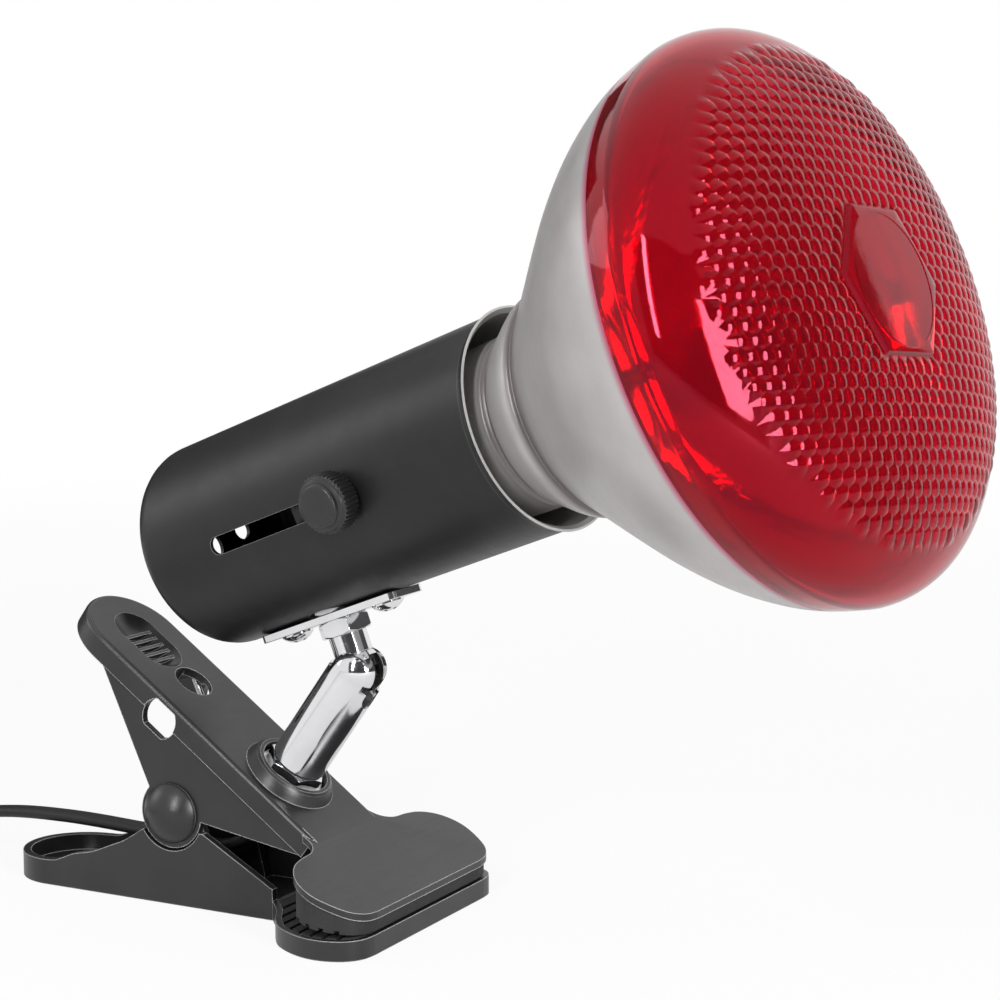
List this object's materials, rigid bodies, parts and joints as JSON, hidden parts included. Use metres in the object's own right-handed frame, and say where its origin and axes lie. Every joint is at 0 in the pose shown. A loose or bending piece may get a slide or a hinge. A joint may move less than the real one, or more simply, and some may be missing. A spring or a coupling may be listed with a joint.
{
  "type": "clamp-on heat lamp",
  "caption": "Clamp-on lamp with a red reflector bulb in an adjustable cylinder holder, on a slotted ball swivel that stands on a sprung two-jaw clamp.",
  "frame": {"origin": "middle of the lower pad's gripping face, on the line across the clamp's arm", "axes": "+X towards the jaw tips, +Y across the clamp, +Z away from the gripping face; the underside of the lower jaw and the cord lie at z = -5 mm"},
  "size_m": [0.4248, 0.137, 0.2028],
  "materials": {
    "black_plastic": "satin moulded nylon",
    "pad_rubber": "matt ribbed rubber",
    "seat_nylon": "plain nylon",
    "chrome": "polished chrome plate",
    "zinc_steel": "zinc plated",
    "black_paint": "matt black powder coat",
    "porcelain": "unglazed white ceramic",
    "brass": "plain brass",
    "nickel": "nickel plated brass",
    "cap_alloy": "bright drawn cap",
    "solder": "dull solder",
    "cap_glass": "black glass insulator",
    "silvered_glass": "pressed glass silvered on its inside",
    "red_glass": "red pressed glass",
    "tungsten": "bare wire",
    "wire_sleeve": "lead inside the lamp",
    "fibre_sleeve": "heat-proof fibre sleeve",
    "cord_black": "flat twin cord",
    "switch_plastic": "satin black",
    "rocker_red": "smooth red"
  },
  "bodies": {
    "root": {"lower_jaw": "black_plastic", "lower_pad": "pad_rubber", "pivot_pin": "zinc_steel", "pivot_cap_near": "black_plastic", "pivot_cap_far": "black_plastic", "clamp_spring": "zinc_steel", "cord_clamp": "black_plastic", "cord_clamp_screws": "zinc_steel", "lead_jaw": "wire_sleeve", "cord_run": "cord_black", "switch_base": "switch_plastic", "switch_cover": "switch_plastic", "switch_screws": "zinc_steel", "cord_link": "cord_black", "cord_coil": "cord_black", "cord_tail": "cord_black", "plug_body": "switch_plastic", "plug_pins": "nickel"},
    "upper_jaw": {"upper_jaw": "black_plastic", "upper_pad": "pad_rubber", "arm_washer": "chrome", "stud_washer": "zinc_steel"},
    "arm": {"arm_tube": "chrome", "arm_stud": "zinc_steel", "arm_nut": "chrome", "friction_washer": "pad_rubber", "stud_nut": "zinc_steel", "ball_seat": "seat_nylon", "seat_spring": "zinc_steel", "lead_arm": "wire_sleeve"},
    "stem": {"swivel_ball": "chrome", "swivel_stem": "chrome", "stem_nut": "chrome", "stem_lock_nut": "zinc_steel", "lead_stem": "wire_sleeve"},
    "head": {"lamp_cylinder": "black_paint", "bracket_strip": "chrome", "bracket_screws": "chrome", "bracket_nuts": "zinc_steel", "lead_cylinder": "wire_sleeve"},
    "holder": {"lampholder": "porcelain", "screw_shell": "brass", "centre_contact": "brass", "terminal_screws": "brass", "holder_bracket": "zinc_steel", "holder_screws": "zinc_steel", "holder_wires": "fibre_sleeve"},
    "thumb_screw": {"thumb_knob": "black_plastic", "thumb_shank": "zinc_steel"},
    "bulb": {"bulb_cap": "cap_alloy", "cap_insulator": "cap_glass", "cap_contact": "solder", "bulb_reflector": "silvered_glass", "bulb_lens": "red_glass", "filament": "tungsten", "filament_supports": "tungsten"},
    "rocker": {"switch_rocker": "rocker_red"}
  },
  "joints": [
    {"name": "jaw_hinge", "type": "hinge", "parent": "root", "child": "upper_jaw", "pos_m": [-0.0462, 0, 0.0175], "axis": [0, -1, 0], "range_deg": [0, 40], "stiffness_Nm_per_rad": 0.9, "springref_deg": -57.3, "deforming": ["clamp_spring", "lead_jaw"]},
    {"name": "arm_swivel", "type": "hinge", "parent": "upper_jaw", "child": "arm", "pos_m": [-0.02099, 0, 0.02681], "axis": [0.585, 0, 0.8111], "range_deg": [-175, 175]},
    {"name": "head_tilt", "type": "hinge", "parent": "arm", "child": "stem", "pos_m": [-0.00128, 0, 0.05414], "axis": [0, 1, 0], "range_deg": [-5, 100], "deforming": ["lead_arm"]},
    {"name": "head_turn", "type": "hinge", "parent": "stem", "child": "head", "pos_m": [-0.00128, 0, 0.05414], "axis": [0.3502, 0, -0.9367], "range_deg": [-120, 120]},
    {"name": "holder_slide", "type": "slide", "parent": "head", "child": "holder", "axis": [0.9253, -0.1556, 0.3459], "range_m": [-0.008, 0.0015], "deforming": ["lead_cylinder", "holder_wires"]},
    {"name": "thumb_turn", "type": "hinge", "parent": "holder", "child": "thumb_screw", "pos_m": [0.01452, -0.00499, 0.10244], "axis": [-0.1083, -0.9824, -0.1521], "range_deg": [0, 360]},
    {"name": "bulb_turn", "type": "hinge", "parent": "holder", "child": "bulb", "pos_m": [0.05246, -0.01137, 0.11662], "axis": [0.9253, -0.1556, 0.3459], "range_deg": [0, 360]},
    {"name": "rocker_tilt", "type": "hinge", "parent": "root", "child": "rocker", "pos_m": [-0.222, 0, 0.0066], "axis": [0, -1, 0], "range_deg": [0, 16]}
  ]
}
